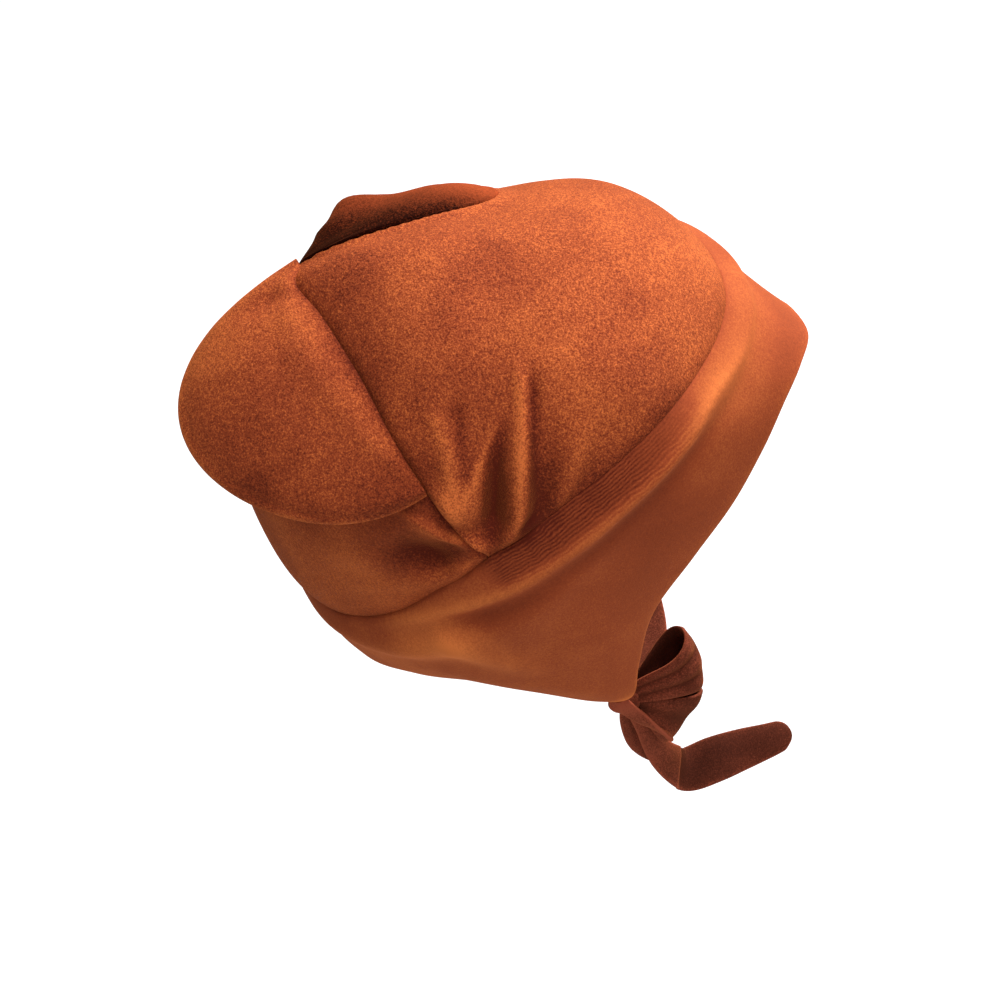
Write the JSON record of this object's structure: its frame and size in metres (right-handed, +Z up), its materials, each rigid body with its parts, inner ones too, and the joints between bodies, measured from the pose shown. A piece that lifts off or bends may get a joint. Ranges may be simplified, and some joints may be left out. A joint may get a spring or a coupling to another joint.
{
  "type": "velour animal hat with ears, ear flaps and a tied bow",
  "caption": "Soft velour hat with large rounded animal ears, a deep brim band with ear flaps, and ties knotted in a bow.",
  "frame": {"origin": "where the hat sits on a head: middle of the head hollow at brow level", "axes": "+Z up through the crown, -Y to the front, +X to the wearer's left"},
  "size_m": [0.1816, 0.2429, 0.3012],
  "materials": {
    "velour": "rust short-pile velour",
    "velour_band": "rust short-pile velour, smoother on the lower band",
    "tie_velour": "darker rust velour"
  },
  "bodies": {
    "root": {"crown_front": "velour", "crown_back": "velour", "brim_band": "velour_band", "ear_right": "velour", "ear_left": "velour", "tie_right": "tie_velour", "tie_left": "tie_velour", "bow_knot": "tie_velour", "bow_loop_upper": "tie_velour", "bow_loop_lower": "tie_velour", "tail_front": "tie_velour", "tail_back": "tie_velour"}
  },
  "joints": []
}
